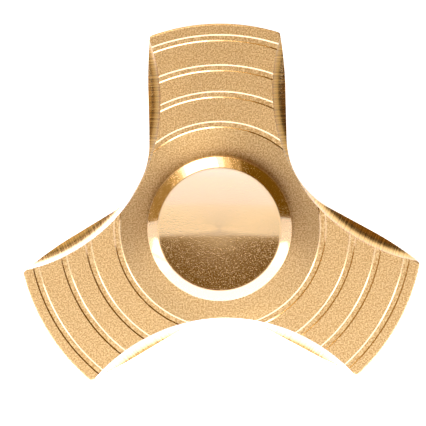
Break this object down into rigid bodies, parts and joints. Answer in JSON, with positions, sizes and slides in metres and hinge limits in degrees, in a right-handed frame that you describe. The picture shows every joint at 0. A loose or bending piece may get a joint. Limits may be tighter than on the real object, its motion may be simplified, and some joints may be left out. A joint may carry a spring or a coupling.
{
  "type": "fidget spinner",
  "caption": "Gold anodised three-armed finger spinner with scalloped, grooved arms turning on a ball bearing between two dished finger caps.",
  "frame": {"origin": "centre of the bearing, on the spin axis and halfway through the thickness", "axes": "+Z along the spin axis, out of the upper finger cap; +Y along the first arm"},
  "size_m": [0.0666, 0.0594, 0.014],
  "materials": {
    "gold_satin": "satin gold anodised, fine blasted grain",
    "gold_turned": "gold anodised, turned and polished",
    "bearing_steel": "ground",
    "ball_steel": "polished",
    "sheet_steel": "pressed sheet",
    "spring_steel": "drawn wire",
    "black_steel": "black oxide"
  },
  "bodies": {
    "held_core": {"finger_cap_top": "gold_turned", "finger_cap_bottom": "gold_turned", "cap_shim_top": "sheet_steel", "cap_shim_bottom": "sheet_steel", "axle_stud": "black_steel", "bearing_inner_ring": "bearing_steel"},
    "rotor": {"spinner_body": "gold_satin", "bearing_outer_ring": "bearing_steel", "bearing_shield_top": "sheet_steel", "bearing_shield_bottom": "sheet_steel", "shield_snap_ring_top": "spring_steel", "shield_snap_ring_bottom": "spring_steel"},
    "cage": {"cage_half_top": "sheet_steel", "cage_half_bottom": "sheet_steel"},
    "ball_1": {"bearing_ball_1": "ball_steel"},
    "ball_2": {"bearing_ball_2": "ball_steel"},
    "ball_3": {"bearing_ball_3": "ball_steel"},
    "ball_4": {"bearing_ball_4": "ball_steel"},
    "ball_5": {"bearing_ball_5": "ball_steel"},
    "ball_6": {"bearing_ball_6": "ball_steel"},
    "ball_7": {"bearing_ball_7": "ball_steel"}
  },
  "joints": [
    {"name": "rotor_spin", "type": "hinge", "parent": "held_core", "child": "rotor", "pos_m": [0, 0, 0], "axis": [0, 0, 1], "continuous": true},
    {"name": "cage_orbit", "type": "hinge", "parent": "held_core", "child": "cage", "pos_m": [0, 0, 0], "axis": [0, 0, 1], "continuous": true},
    {"name": "ball_1_roll", "type": "hinge", "parent": "cage", "child": "ball_1", "pos_m": [0, 0.0075, 0], "axis": [0, 0, 1], "continuous": true},
    {"name": "ball_2_roll", "type": "hinge", "parent": "cage", "child": "ball_2", "pos_m": [-0.00586, 0.00468, 0], "axis": [0, 0, 1], "continuous": true},
    {"name": "ball_3_roll", "type": "hinge", "parent": "cage", "child": "ball_3", "pos_m": [-0.00731, -0.00167, 0], "axis": [0, 0, 1], "continuous": true},
    {"name": "ball_4_roll", "type": "hinge", "parent": "cage", "child": "ball_4", "pos_m": [-0.00325, -0.00676, 0], "axis": [0, 0, 1], "continuous": true},
    {"name": "ball_5_roll", "type": "hinge", "parent": "cage", "child": "ball_5", "pos_m": [0.00325, -0.00676, 0], "axis": [0, 0, 1], "continuous": true},
    {"name": "ball_6_roll", "type": "hinge", "parent": "cage", "child": "ball_6", "pos_m": [0.00731, -0.00167, 0], "axis": [0, 0, 1], "continuous": true},
    {"name": "ball_7_roll", "type": "hinge", "parent": "cage", "child": "ball_7", "pos_m": [0.00586, 0.00468, 0], "axis": [0, 0, 1], "continuous": true}
  ],
  "couplings": [
    {"joint": "cage_orbit", "follows": "rotor_spin", "ratio": 0.6323},
    {"joint": "ball_1_roll", "follows": "rotor_spin", "ratio": 1.7573},
    {"joint": "ball_2_roll", "follows": "rotor_spin", "ratio": 1.7573},
    {"joint": "ball_3_roll", "follows": "rotor_spin", "ratio": 1.7573},
    {"joint": "ball_4_roll", "follows": "rotor_spin", "ratio": 1.7573},
    {"joint": "ball_5_roll", "follows": "rotor_spin", "ratio": 1.7573},
    {"joint": "ball_6_roll", "follows": "rotor_spin", "ratio": 1.7573},
    {"joint": "ball_7_roll", "follows": "rotor_spin", "ratio": 1.7573}
  ]
}
